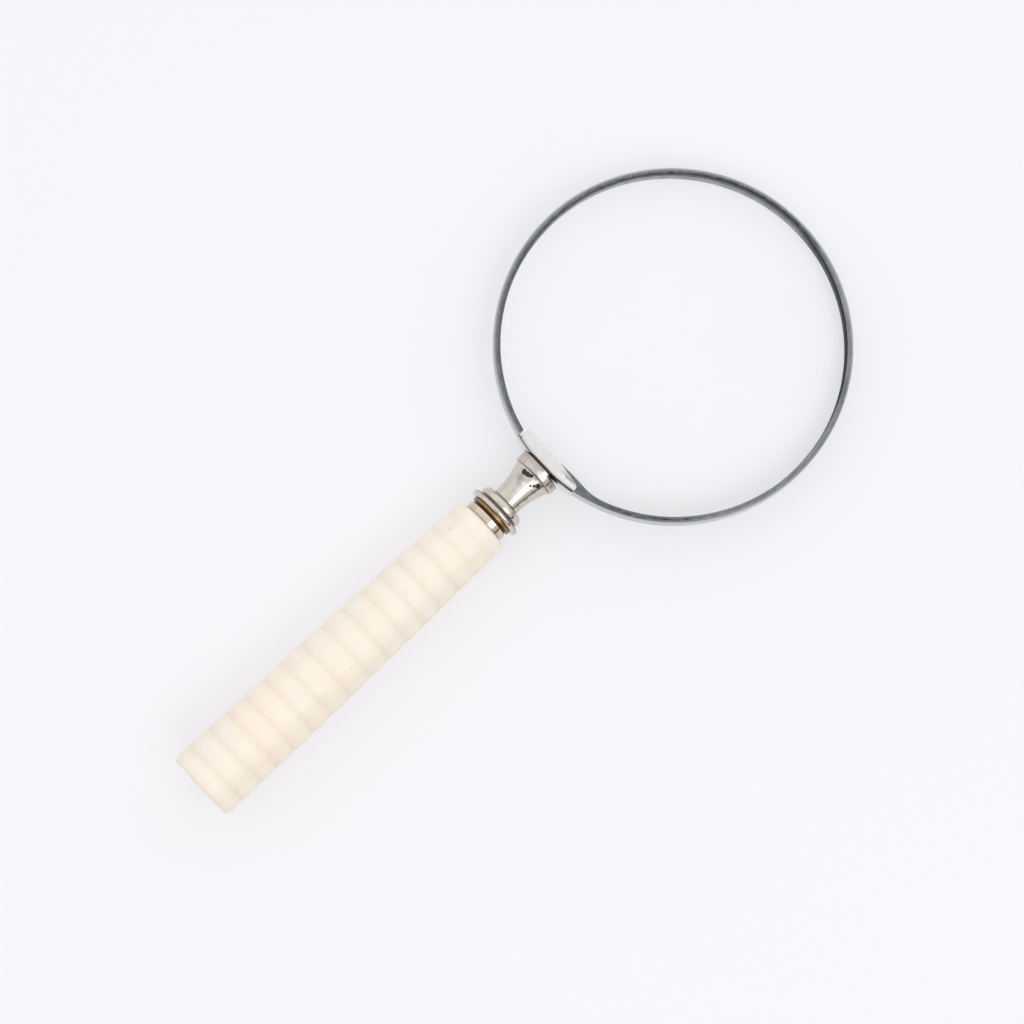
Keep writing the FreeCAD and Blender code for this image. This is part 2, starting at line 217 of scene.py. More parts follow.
def turned(outline, segments, shape=None, lens_axis=False, gap=None, closed=True):
    """Points, faces and edge values of an outline swept round an axis. shape changes the
    (along, out) arrays by angle. gap = (low, high) in degrees leaves that part of the turn out."""
    outline = np.array(outline, float)
    n = len(outline)
    if gap:
        angles = np.radians(np.linspace(gap[1], gap[0] + 360, segments + 1))
    else:
        angles = np.radians(np.arange(segments) * 360.0 / segments)
    m = len(angles)
    along = np.repeat(outline[:, :1], m, axis=1)
    out = np.repeat(outline[:, 1:], m, axis=1)
    angle = np.repeat(angles[None, :], n, axis=0)
    if shape:
        along, out = shape(along, out, angle)
    if lens_axis:
        grid = np.stack([RIM_CENTRE + out * np.cos(angle), out * np.sin(angle), along], 2)
    else:
        grid = np.stack([along, out * np.cos(angle), out * np.sin(angle)], 2)
    poles = outline[:, 1] < 1e-6
    index = np.arange(n * m).reshape(n, m)
    index[poles] = index[poles][:, :1]
    rows = range(n if closed else n - 1)
    faces = []
    for i in rows:
        a, b = index[i], index[(i + 1) % n]
        if poles[i] and poles[(i + 1) % n]:
            continue
        for j in range(m if not gap else m - 1):
            k = (j + 1) % m
            ring = [a[j], b[j], b[k], a[k]]
            face = [v for pos, v in enumerate(ring) if v != ring[pos - 1]]
            faces.append(face)
    if gap:
        faces.append([index[i][0] for i in range(n)])
        faces.append([index[i][m - 1] for i in reversed(range(n))])
    edge = spread(edge_value(outline, EDGE_REACH, closed), m)
    return grid.reshape(-1, 3), faces, {"edge": edge}


def cleaned(piece):
    """Drops loose points and turns every face outwards."""
    shell = bmesh.new()
    shell.from_mesh(piece.data)
    loose = [v for v in shell.verts if not v.link_faces]
    bmesh.ops.delete(shell, geom=loose, context="VERTS")
    bmesh.ops.recalc_face_normals(shell, faces=shell.faces)
    shell.to_mesh(piece.data)
    shell.free()


def finished(piece, body, node, material):
    """The piece takes its material, moves with its body and stands for its CAD node."""
    cleaned(piece)
    piece.data.materials.append(material)
    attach(piece, body)
    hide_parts(node)


def made(node, body, slot, material, points, faces, values, sharp=40.0):
    """Makes the piece that stands for a CAD node and has its name."""
    finished(build(node, points, faces, values, sharp), body, node, material)


def ripple(seed, orders, size):
    """A smooth closed wave round a turn: a function of the angle, with a seeded shape."""
    draw = np.random.default_rng(seed)
    waves = [(k, draw.normal() / k, draw.uniform(0, 2 * math.pi)) for k in orders]

    def wave(angle):
        return size * sum(a * np.cos(k * angle + p) for k, a, p in waves)
    return wave


def by_angle(places, numbers):
    """A closed curve through numbers at angles in degrees: a function of an angle in radians."""
    def curve(angle):
        return np.interp(np.degrees(angle) % 360.0, places, numbers, period=360.0)
    return curve


# ---- Node graphs ----
class Graph:
    """A material's node tree, with short calls for the nodes that are used here."""

    def __init__(self, name):
        self.material = bpy.data.materials.new(name)
        self.material.use_nodes = True
        self.tree = self.material.node_tree
        self.tree.nodes.clear()

    def node(self, kind, settings=None, **inputs):
        made = self.tree.nodes.new(kind)
        for key, value in (settings or {}).items():
            setattr(made, key, value)
        for key, value in inputs.items():
            self.feed(made, key.replace("_", " "), value)
        return made

    def feed(self, node, key, value):
        numbered = key[0] == "i" and key[1:].isdigit()
        socket = node.inputs[int(key[1:]) if numbered else key]
        if isinstance(value, bpy.types.NodeSocket):
            self.tree.links.new(value, socket)
        else:
            socket.default_value = value

    def attribute(self, name, output="Fac"):
        return self.node("ShaderNodeAttribute", {"attribute_name": name}).outputs[output]

    def scaled(self, vector, scale):
        """The vector with each axis multiplied."""
        return self.vectors("MULTIPLY", vector, scale).outputs[0]

    def distance(self, a, b):
        return self.vectors("DISTANCE", a, b).outputs["Value"]

    def vectors(self, operation, a, b, **more):
        return self.node("ShaderNodeVectorMath", {"operation": operation}, i0=a, i1=b, **more)

    def noise(self, vector, scale, detail=3.0, rough=0.55, warp=0.0):
        return self.node("ShaderNodeTexNoise", Vector=vector, Scale=scale, Detail=detail,
                         Roughness=rough, Distortion=warp).outputs["Fac"]

    def cells(self, vector, scale):
        return self.node("ShaderNodeTexVoronoi", Vector=vector, Scale=scale).outputs["Distance"]

    def maths(self, operation, a, b, clamp=False):
        settings = {"operation": operation, "use_clamp": clamp}
        return self.node("ShaderNodeMath", settings, i0=a, i1=b).outputs[0]

    def times(self, a, b):
        return self.maths("MULTIPLY", a, b)

    def plus(self, a, b):
        return self.maths("ADD", a, b)

    def over(self, colour, shade, mask, strength=1.0):
        """The colour with a shade painted over it where the mask is, up to a strength."""
        return self.mix(mask if strength == 1.0 else self.times(mask, strength), colour, shade)

    def millimetres(self):
        """An object's own coordinates in millimetres, for pieces without the working frame's."""
        own = self.node("ShaderNodeTexCoord").outputs["Object"]
        return self.scaled(own, (1 / MM, 1 / MM, 1 / MM))

    def span(self, value, low, high, to_low=0.0, to_high=1.0, kind="SMOOTHSTEP"):
        """The value carried from one range to another, and kept inside it."""
        made = self.node("ShaderNodeMapRange", {"interpolation_type": kind}, Value=value,
                         From_Min=low, From_Max=high, To_Min=to_low, To_Max=to_high)
        return made.outputs["Result"]

    def mix(self, factor, a, b):
        def opaque(colour):
            return (*colour[:3], 1.0) if isinstance(colour, tuple) else colour
        settings = {"data_type": "RGBA", "blend_type": "MIX", "clamp_factor": True}
        made = self.node("ShaderNodeMix", settings, i0=factor, i6=opaque(a), i7=opaque(b))
        return made.outputs[2]

    def spots(self, local, places):
        """Ragged spots, each given by its centre, its inner and outer radius and its strength."""
        noise = self.node("ShaderNodeTexNoise", Vector=local, Scale=1.3, Detail=3.0)
        moved = self.vectors("MULTIPLY_ADD", noise.outputs["Color"], (SPOT_WANDER,) * 3, i2=local)
        total = 0.0
        for centre, inner, outer, *strength in places:
            middle = tuple(c + SPOT_WANDER / 2 for c in centre)
            away = self.distance(moved.outputs[0], middle)
            spot = self.span(away, inner, outer, *(strength or (1.0,)), 0.0)
            total = self.maths("MAXIMUM", total, spot)
        return total

    def bump(self, height, distance, strength):
        made = self.node("ShaderNodeBump", Height=height, Distance=distance, Strength=strength)
        return made.outputs["Normal"]

    def surface(self, **inputs):
        self.output(self.node("ShaderNodeBsdfPrincipled", **inputs).outputs["BSDF"])

    def output(self, socket):
        self.node("ShaderNodeOutputMaterial", Surface=socket)


def linear(red, green, blue):
    """A colour of the scene from its red, green and blue on the screen, 0 to 255."""
    def one(value):
        value /= 255.0
        return value / 12.92 if value <= 0.04045 else ((value + 0.055) / 1.055) ** 2.4
    return (one(red), one(green), one(blue), 1.0)


# ---- Materials ----
def ivory_material():
    """Cream handle: faint mottling, lengthwise grain, darker grooves, fine pores, a soft polish."""
    g = Graph("ivory_polished")
    local = g.attribute("local", "Vector")
    groove = g.attribute("groove")
    lengthwise = g.scaled(local, (0.12, 1.0, 1.0))
    clouds = g.noise(local, 0.07, 3.0, 0.5, 0.6)
    mottle = g.noise(lengthwise, 0.45, 4.0, 0.6, 0.3)
    grain = g.noise(lengthwise, 2.6, 3.0, 0.6)
    colour = g.mix(g.span(clouds, 0.35, 0.68), linear(241, 233, 220), linear(242, 231, 215))
    colour = g.mix(g.span(mottle, 0.42, 0.72, 0.0, 0.45), colour, linear(239, 225, 206))
    colour = g.mix(g.span(grain, 0.5, 0.8, 0.0, 0.3), colour, linear(236, 221, 202))
    hollow = g.times(groove, g.span(g.noise(local, 0.9, 3.0), 0.25, 0.7, 0.35, 1.0))
    colour = g.over(colour, linear(206, 176, 146), hollow, 0.2)
    pores = g.cells(g.scaled(local, (0.35, 1.0, 1.0)), 0.55)
    pore = g.times(g.span(pores, 0.05, 0.11, 1.0, 0.0),
                   g.span(g.noise(local, 0.16, 2.0), 0.52, 0.62))
    colour = g.over(colour, linear(186, 156, 128), pore, 0.3)
    offset = g.distance(local, (97.9, 4.3, 7.6))
    spot = g.span(offset, 0.2, 1.2, 1.0, 0.0)
    colour = g.over(colour, linear(160, 144, 124), spot, 0.22)
    rough = g.span(g.noise(local, 0.8, 4.0), 0.3, 0.75, 0.33, 0.46)
    rough = g.plus(rough, g.times(hollow, 0.12))
    height = g.plus(g.times(grain, 0.35), g.times(g.noise(local, 1.6, 4.0), 0.65))
    height = g.maths("SUBTRACT", height, g.times(pore, 0.8))
    turning = g.noise(g.scaled(local, (6.0, 0.25, 0.25)), 1.0, 2.0)
    height = g.plus(height, g.times(turning, 0.15))
    g.surface(Base_Color=colour, Roughness=rough, Normal=g.bump(height, 0.00012, 0.35),
              IOR=1.53, Subsurface_Weight=0.18, Subsurface_Radius=(1.0, 0.62, 0.4),
              Subsurface_Scale=1.6 * MM)
    return g.material


def plated_material(name, tint, worn, dull, brushed=0.0, spots=(), highlight_spots=(),
                    painted_shade_colour=linear(62, 50, 40)):
    """Old nickel plate: soft mirror, faint clouding and scratches, brownish tarnish in hollows, a
    warmer metal on the edges, painted shade and dark reflections from the piece's values and the
    spots (centre, inner and outer radius in millimetres), and painted highlights in highlight
    spots."""
    g = Graph(name)
    local = g.attribute("local", "Vector")
    edge = g.attribute("edge")
    clouds = g.noise(local, 0.55, 4.0, 0.6, 0.8)
    fine = g.noise(local, 7.0, 3.0, 0.65)
    hollow = g.span(g.plus(g.times(edge, -1.0), g.times(fine, 0.06)), 0.05, 0.3)
    proud = g.span(g.plus(edge, g.times(fine, 0.1)), 0.12, 0.42)
    colour = g.mix(g.span(clouds, 0.4, 0.75), tint, tuple(c * 0.9 for c in tint[:3]))
    colour = g.over(colour, linear(74, 58, 44), hollow, 0.85)
    colour = g.over(colour, worn, proud, 0.3)
    # Painted highlight: lighter metal in the highlight spots.
    if highlight_spots:
        colour = g.mix(g.spots(local, highlight_spots), colour, linear(248, 244, 238))
    pits = g.cells(local, 1.7)
    pit = g.times(g.span(pits, 0.05, 0.13, 1.0, 0.0), g.span(clouds, 0.5, 0.62))
    colour = g.over(colour, linear(70, 60, 50), pit, 0.55)
    # Painted shade and dark reflections: the piece's own values and the spots.
    shade_and_stain = g.times(g.attribute("shade_and_stain"), g.span(fine, 0.3, 0.6, 0.8, 1.0))
    if spots:
        shade_and_stain = g.maths("MAXIMUM", shade_and_stain, g.spots(local, spots))
    colour = g.over(colour, painted_shade_colour, shade_and_stain, 0.97)
    rough = g.span(clouds, 0.3, 0.75, dull, dull + 0.14)
    rough = g.plus(rough, g.times(g.plus(g.plus(hollow, pit), shade_and_stain), 0.2))
    if brushed:
        rough = g.times(rough, g.maths("SUBTRACT", 1.0, g.times(g.attribute("bent"), 0.6)))
    scratch = g.noise(g.scaled(local, (1.2, 9.0, 9.0)), 1.6, 3.0, 0.7, 0.4)
    rings = g.noise(g.scaled(local, (14.0, 0.3, 0.3)), 1.0, 3.0)
    height = g.plus(g.times(scratch, 0.35 + brushed), g.times(rings, 0.5))
    height = g.maths("SUBTRACT", height, g.times(pit, 0.8))
    g.surface(Base_Color=colour, Metallic=1.0, Roughness=rough, Normal=g.bump(height, 0.00003, 0.4))
    return g.material


# Spots painted where the photo shows them: centre, inner and outer radius in millimetres, strength
# Painted dark reflections on the stem and boss: blots in the flare and a line down the -Y side.
PAINTED_DARK_REFLECTIONS = (
    ((123.7, 2.3, 5.4), 0.75, 1.05), ((123.95, 1.1, 5.75), 0.7, 1.0),
    ((124.3, 0.1, 5.95), 0.5, 0.8), ((122.4, -1.8, 5.05), 0.3, 0.55),
    ((123.0, -2.5, 5.0), 0.4, 0.65), ((123.8, -3.2, 4.95), 0.6, 0.9),
    ((122.0, 1.9, 4.9), 0.3, 1.9, 0.42), ((120.6, 1.2, 4.9), 0.1, 1.4, 0.3),
    ((121.9, -3.5, 3.8), 0.2, 1.0, 0.45), ((126.6, -5.6, 3.8), 0.5, 1.4, 0.6),
    ((118.9, -3.5, 2.9), 0.1, 1.2, 0.35), ((116.3, -3.5, 2.7), 0.1, 1.2, 0.35),
)
# Painted highlights on the stem and boss: lighter metal that widens the lamp's reflection.
PAINTED_HIGHLIGHTS = (
    ((117.6, -0.7, 4.2), 0.3, 1.3, 0.7), ((119.4, -0.6, 4.6), 0.5, 1.5, 0.8),
    ((121.3, -0.7, 4.9), 0.6, 1.6, 0.9), ((122.4, -2.1, 4.8), 0.5, 1.3, 0.8),
    ((126.3, -1.1, 6.7), 0.4, 1.1, 0.8), ((127.5, -3.1, 6.0), 0.5, 1.2, 0.8),
)
# Painted shade: dark marks at the saddle's end, where it stands off the rim.
SADDLE_END_SHADE = (
    ((130.05, 9.9, 4.15), 0.3, 0.55), ((129.9, 10.6, 3.6), 0.3, 0.55),
    ((130.2, 10.8, 4.1), 0.2, 0.45),
)
# Dark marks on the rim: two single dots, and painted shade in three spots beside the saddle's end.
RIM_SPOTS = (
    ((135.74, -23.38, 3.95), 0.2, 0.42), ((130.35, -12.0, 3.6), 0.1, 0.32),
    ((129.9, -12.4, 2.6), 0.08, 0.28), ((129.8, -12.55, 1.6), 0.05, 0.25),
    ((134.6, 21.4, 3.95), 0.1, 0.35),
)


def rim_material():
    """Blued steel strip: dark blue-grey, worn bright on the outer shoulders with a painted
    highlight there, painted light on the outer wall, painted shade on the lip and the top of the
    roll, with fine scratches round the turn and a few pale worn patches."""
    g = Graph("rim_blued_steel")
    local = g.attribute("local", "Vector")
    turn = g.attribute("turn")
    across = g.attribute("across")
    shoulder = g.attribute("shoulder")
    strip = g.node("ShaderNodeCombineXYZ", X=g.times(turn, 48.0), Y=across, Z=0.0).outputs[0]
    clouds = g.noise(local, 0.16, 4.0, 0.6, 0.5)
    streaks = g.noise(g.scaled(strip, (0.10, 5.0, 1.0)), 1.0, 4.0, 0.65, 0.2)
    fine = g.noise(local, 4.0, 3.0, 0.6)
    colour = g.mix(g.span(clouds, 0.35, 0.7), linear(162, 167, 172), linear(144, 149, 155))
    colour = g.mix(g.span(streaks, 0.5, 0.78, 0.0, 0.5), colour, linear(180, 184, 188))
    # Painted light: the outer wall is made lighter.
    colour = g.mix(g.attribute("wall"), colour, linear(192, 195, 198))
    # The outer shoulders: worn bright, with a painted highlight over the same band.
    wear_and_highlight = g.times(shoulder, g.span(g.plus(clouds, g.times(fine, 0.25)), 0.35, 0.75, 0.35, 1.0))
    colour = g.over(colour, linear(216, 220, 223), wear_and_highlight, 0.6)
    blotches = g.noise(g.scaled(strip, (0.5, 1.2, 1.0)), 1.0, 5.0, 0.65, 0.4)
    uneven = g.span(blotches, 0.3, 0.7, 0.72, 1.12)
    # Painted shade on the lip and the top of the roll, set round the turn by the piece's values,
    # with the rim spots.
    shade_and_marks = g.maths("MULTIPLY", g.attribute("shade_and_marks"), uneven, clamp=True)
    shade_and_marks = g.maths("MAXIMUM", shade_and_marks, g.times(g.spots(local, RIM_SPOTS), 0.9))
    colour = g.mix(shade_and_marks, colour, linear(44, 47, 56))
    shade_and_stain = g.span(g.noise(local, 0.35, 4.0, 0.7, 1.2), 0.6, 0.74)
    colour = g.over(colour, linear(96, 94, 92), shade_and_stain, 0.55)
    rough = g.span(streaks, 0.3, 0.75, 0.2, 0.38)
    rough = g.plus(rough, g.times(g.plus(shade_and_stain, shade_and_marks), 0.16))
    height = g.plus(g.times(streaks, 0.6), g.times(fine, 0.4))
    g.surface(Base_Color=colour, Metallic=1.0, Roughness=rough, Normal=g.bump(height, 0.00004, 0.5))
    return g.material


def brass_material(name, own_place=False):
    """Old brass: golden where it is worn, brown in the hollows. own_place is for a piece
    without the working frame's coordinates."""
    g = Graph(name)
    local = g.millimetres() if own_place else g.attribute("local", "Vector")
    edge = g.attribute("edge")
    clouds = g.noise(local, 1.1, 4.0, 0.6, 0.6)
    fine = g.noise(local, 8.0, 3.0, 0.6)
    colour = g.mix(g.span(clouds, 0.35, 0.7), linear(120, 94, 70), linear(92, 70, 50))
    bright = g.span(g.plus(edge, g.times(fine, 0.08)), 0.08, 0.3)
    colour = g.over(colour, linear(196, 170, 126), bright, 0.5)
    hollow = g.span(g.plus(g.times(edge, -1.0), g.times(fine, 0.05)), -0.01, 0.12)
    colour = g.over(colour, linear(70, 46, 26), hollow, 0.8)
    rough = g.span(clouds, 0.3, 0.75, 0.26, 0.44)
    height = g.plus(g.noise(g.scaled(local, (12.0, 0.4, 0.4)), 1.0, 3.0), g.times(fine, 0.4))
    g.surface(Base_Color=colour, Metallic=1.0, Roughness=rough,
              Normal=g.bump(height, 0.00003, 0.45))
    return g.material


def steel_material():
    """Plain cut steel of the threaded rod and studs, with dark oil in the threads."""
    g = Graph("screw_steel_cut")
    local = g.millimetres()
    depth = g.attribute("depth")
    clouds = g.noise(local, 0.8, 4.0, 0.6, 0.5)
    fine = g.noise(local, 9.0, 3.0, 0.6)
    colour = g.mix(g.span(clouds, 0.35, 0.7), linear(168, 164, 158), linear(138, 132, 124))
    colour = g.over(colour, linear(62, 52, 42), depth, 0.75)
    shade_and_stain = g.span(g.noise(local, 0.5, 4.0, 0.7, 1.0), 0.56, 0.72)
    colour = g.over(colour, linear(112, 84, 60), shade_and_stain, 0.5)
    rough = g.plus(g.span(clouds, 0.3, 0.75, 0.26, 0.42), g.times(shade_and_stain, 0.2))
    g.surface(Base_Color=colour, Metallic=1.0, Roughness=rough, Normal=g.bump(fine, 0.00003, 0.4))
    return g.material


def liner_material():
    """Soft black strip that holds the glass, made grey over much of the turn by a table of angles.
    """
    g = Graph("liner_black")
    local = g.attribute("local", "Vector")
    greyed = g.attribute("greyed")
    dust = g.span(g.noise(local, 0.7, 5.0, 0.65, 0.6), 0.45, 0.75)
    fine = g.noise(local, 6.0, 4.0, 0.6)
    patchy = g.times(greyed, g.span(g.noise(local, 0.35, 4.0), 0.3, 0.65, 0.7, 1.0))
    colour = g.mix(g.times(dust, 0.4), linear(38, 41, 48), linear(70, 73, 80))
    colour = g.mix(patchy, colour, linear(176, 177, 181))
    rough = g.span(fine, 0.3, 0.7, 0.5, 0.72)
    g.surface(Base_Color=colour, Roughness=rough, Normal=g.bump(fine, 0.00006, 0.6))
    return g.material


def glass_material():
    """Crown glass with a faint film of dust and fine scratches. Lamps shine through it."""
    g = Graph("optical_glass_clear")
    local = g.attribute("local", "Vector")
    ground = g.attribute("ground")
    scratch = g.noise(g.scaled(local, (0.35, 4.0, 1.0)), 0.8, 2.0, 0.6, 1.4)
    dust = g.cells(local, 0.42)
    speck = g.times(g.span(dust, 0.03, 0.05, 1.0, 0.0),
                    g.span(g.noise(local, 0.08, 2.0), 0.5, 0.56))
    rough = g.times(speck, 0.25)
    rough = g.plus(rough, g.times(ground, 0.45))
    tint = g.mix(ground, (0.995, 1.0, 1.0), (0.86, 0.92, 0.9))
    clear = g.node("ShaderNodeBsdfPrincipled", Base_Color=tint, Roughness=rough,
                   Normal=g.bump(scratch, 0.0000008, 0.2), IOR=1.52, Transmission_Weight=1.0)
    through = g.node("ShaderNodeBsdfTransparent", Color=(1.0, 1.0, 1.0, 1.0))
    ray = g.node("ShaderNodeLightPath").outputs["Is Shadow Ray"]
    both = g.node("ShaderNodeMixShader", i0=ray, i1=clear.outputs["BSDF"],
                  i2=through.outputs["BSDF"])
    g.output(both.outputs[0])
    return g.material


# ---- Lens, liner and rim ----
def glass_height(radius):
    """Half the lens's thickness at a radius."""
    drop = LENS_SURFACE_R - math.sqrt(LENS_SURFACE_R ** 2 - radius ** 2)
    edge_drop = LENS_SURFACE_R - math.sqrt(LENS_SURFACE_R ** 2 - LENS_R ** 2)
    return LENS_EDGE / 2 + edge_drop - drop


def add_lens(material):
    """The biconvex glass, with a small bevel and a ground edge."""
    segments, bevel_r = 256, LENS_R - LENS_BEVEL
    radii = np.concatenate([[0.0], np.linspace(1.5, bevel_r, 34)])
    top = [(glass_height(r), r) for r in radii]
    edge_z = glass_height(bevel_r) - LENS_BEVEL
    outline = top + [(edge_z, LENS_R), (edge_z * 0.3, LENS_R), (-edge_z * 0.3, LENS_R),
                     (-edge_z, LENS_R)]
    outline += [(-z, r) for z, r in reversed(top)]
    points, faces, values = turned(outline, segments, lens_axis=True, closed=False)
    ring = np.array([1.0 if r > bevel_r + 0.01 else 0.0 for _, r in outline])
    values["ground"] = spread(ring, segments)
    made("lens", "head", "optical_glass", material, points, faces, values, sharp=25.0)


def add_liner(material):
    """A black channel round the glass; its inner edge is soft and a little uneven."""
    inner_z = glass_height(LINER_INNER_R)
    outer_z = inner_z + LINER_LEG
    wall_r = LENS_R + LINER_WALL
    corners = [
        (inner_z, LINER_INNER_R, 0.12), (outer_z, LINER_INNER_R, 0.2), (outer_z, wall_r, 0.1),
        (-outer_z, wall_r, 0.1), (-outer_z, LINER_INNER_R, 0.2), (-inner_z, LINER_INNER_R, 0.12),
        (-inner_z, LENS_R, 0.0), (-WALL_HALF, LENS_R, 0.0), (WALL_HALF, LENS_R, 0.0),
        (inner_z, LENS_R, 0.0),
    ]
    outline = rounded(corners, 3)
    wave = ripple(11, range(2, 40, 3), 0.08)
    drawn_back = by_angle((0, 60, 120, 150, 172, 195, 286, 300, 330),
                          (-0.05, 0, 0.05, 0.12, 0.3, 0.55, 0.55, 0.05, -0.05))
    pressed_out = by_angle((0, 30, 60, 90, 120, 300, 330), (0.5, 0.55, 0.35, 0.12, 0, 0, 0.3))
    greyed = by_angle((0, 60, 90, 160, 190, 290, 299, 352), (0.72, 0.9, 1, 1, 0.8, 0.6, 0, 0.05))

    def uneven(along, out, angle):
        near = clamp01((LENS_R - 0.2 - out) / 0.9)
        shift = np.where(along > 0, drawn_back(angle), -pressed_out(angle))
        slope = glass_height(LINER_INNER_R - 0.5) - inner_z
        along = along + near * np.sign(along) * np.maximum(-shift, 0) * slope * 2.2
        return along, out + near * (wave(angle) + shift)
    points, faces, values = turned(outline, 384, uneven, lens_axis=True)
    angle = np.arctan2(points[:, 1], points[:, 0] - RIM_CENTRE)
    values["greyed"] = greyed(angle) * np.where(points[:, 2] > 0, 0.35, 1.0)
    values["greyed"][np.abs(points[:, 2]) < WALL_HALF + 0.01] = 1.0
    made("lens_liner", "head", "black_liner", material, points, faces, values)


def add_rim(material):
    """The strip with its two rolled edges, split where the stem joins it."""
    def rolled(radius, start, stop, count):
        angles = [math.radians(a) for a in np.linspace(start, stop, count)]
        return [(ROLL_CENTRE_Z + radius * math.sin(a), ROLL_CENTRE_R + radius * math.cos(a))
                for a in angles]
    inner = ROLL_R - RIM_SHEET
    upper_out, upper_in = rolled(ROLL_R, 0, ROLL_ANGLE, 18), rolled(inner, ROLL_ANGLE, 0, 8)
    half = [(0.0, RIM_R), (1.1, RIM_R), (2.2, RIM_R)] + upper_out
    back = upper_in + [(2.2, RIM_R - RIM_SHEET), (1.1, RIM_R - RIM_SHEET), (0.0, RIM_R - RIM_SHEET)]
    outline = half + back + [(-z, r) for z, r in reversed(half[1:] + back[:-1])]
    outside, sway = ripple(3, range(2, 12), 0.05), ripple(4, range(2, 30, 2), 0.045)
    dents = ripple(5, range(9, 60, 4), 0.07)

    solder = by_angle((0, 181, 184, 189, 193, 196, 199, 203), (0, 0, 2.5, 2.2, 1.5, 0.75, 0.25, 0))

    def handmade(along, out, angle):
        lip = clamp01((np.abs(along) - 2.6) / 1.2)
        tongue = clamp01((ROLL_CENTRE_R - out) / 0.75) ** 1.3 * (along > 2.6) * solder(angle)
        return (along + np.sign(along) * lip * sway(angle) * (1 - clamp01(tongue)),
                out + outside(angle) + lip * 0.35 * dents(angle) - tongue)
    half_gap = math.degrees(math.asin(RIM_SPLIT / 2 / RIM_R))
    segments = 540
    points, faces, values = turned(outline, segments, handmade, lens_axis=True,
                                   gap=(180 - half_gap, 180 + half_gap))
    m = segments + 1
    o = np.array(outline)
    turn = np.radians(np.linspace(180 + half_gap, 540 - half_gap, m))
    values["turn"] = np.repeat(turn[None, :], len(outline), axis=0)
    place = np.concatenate([[0], np.cumsum(np.linalg.norm(np.diff(o, axis=0), axis=1))])
    values["across"] = spread(place, m)
    up, off = np.abs(o[:, 0]) - ROLL_CENTRE_Z, o[:, 1] - ROLL_CENTRE_R
    lean = np.degrees(np.arctan2(up, off))
    on_outside = np.hypot(up, off) > 0.8
    # A band round the outer roll: worn bright, with a painted highlight over it.
    shoulder = np.where(on_outside, np.exp(-((lean - 38) / 26.0) ** 2), 0.0)
    values["shoulder"] = spread(shoulder, m)
    # Painted light: the outer wall is made lighter.
    wall = np.where(o[:, 1] > RIM_R - 0.3, clamp01((12 - lean) / 20.0), 0.0)
    values["wall"] = spread(wall, m)
    # Painted shade on the lip and the top of the roll, stronger or weaker round the turn.
    lip_dark = by_angle((0, 45, 60, 90, 120, 150, 170, 195, 212, 285, 300, 330, 345),
                        (0.84, 0.86, 0.82, 0.75, 0.58, 0.58, 0.6, 0.62, 0.45, 0.12, 0.35, 0.2, 0.5))
    top_dark = by_angle((0, 60, 120, 150, 195, 210, 226, 240, 285, 300, 330),
                        (0.12, 0.0, 0.16, 0.3, 0.4, 0.66, 0.85, 0.6, 0.52, 0.42, 0.12))
    on_lip = clamp01((lean - 62) / 50.0) ** 0.8
    on_top = np.exp(-((lean - 72) / 34.0) ** 2)
    dark = np.outer(on_lip, lip_dark(turn)) + np.outer(on_top, top_dark(turn))
    values["shade_and_marks"] = clamp01(dark)
    made("rim_band", "head", "rim_steel", material, points, faces, values, sharp=50.0)


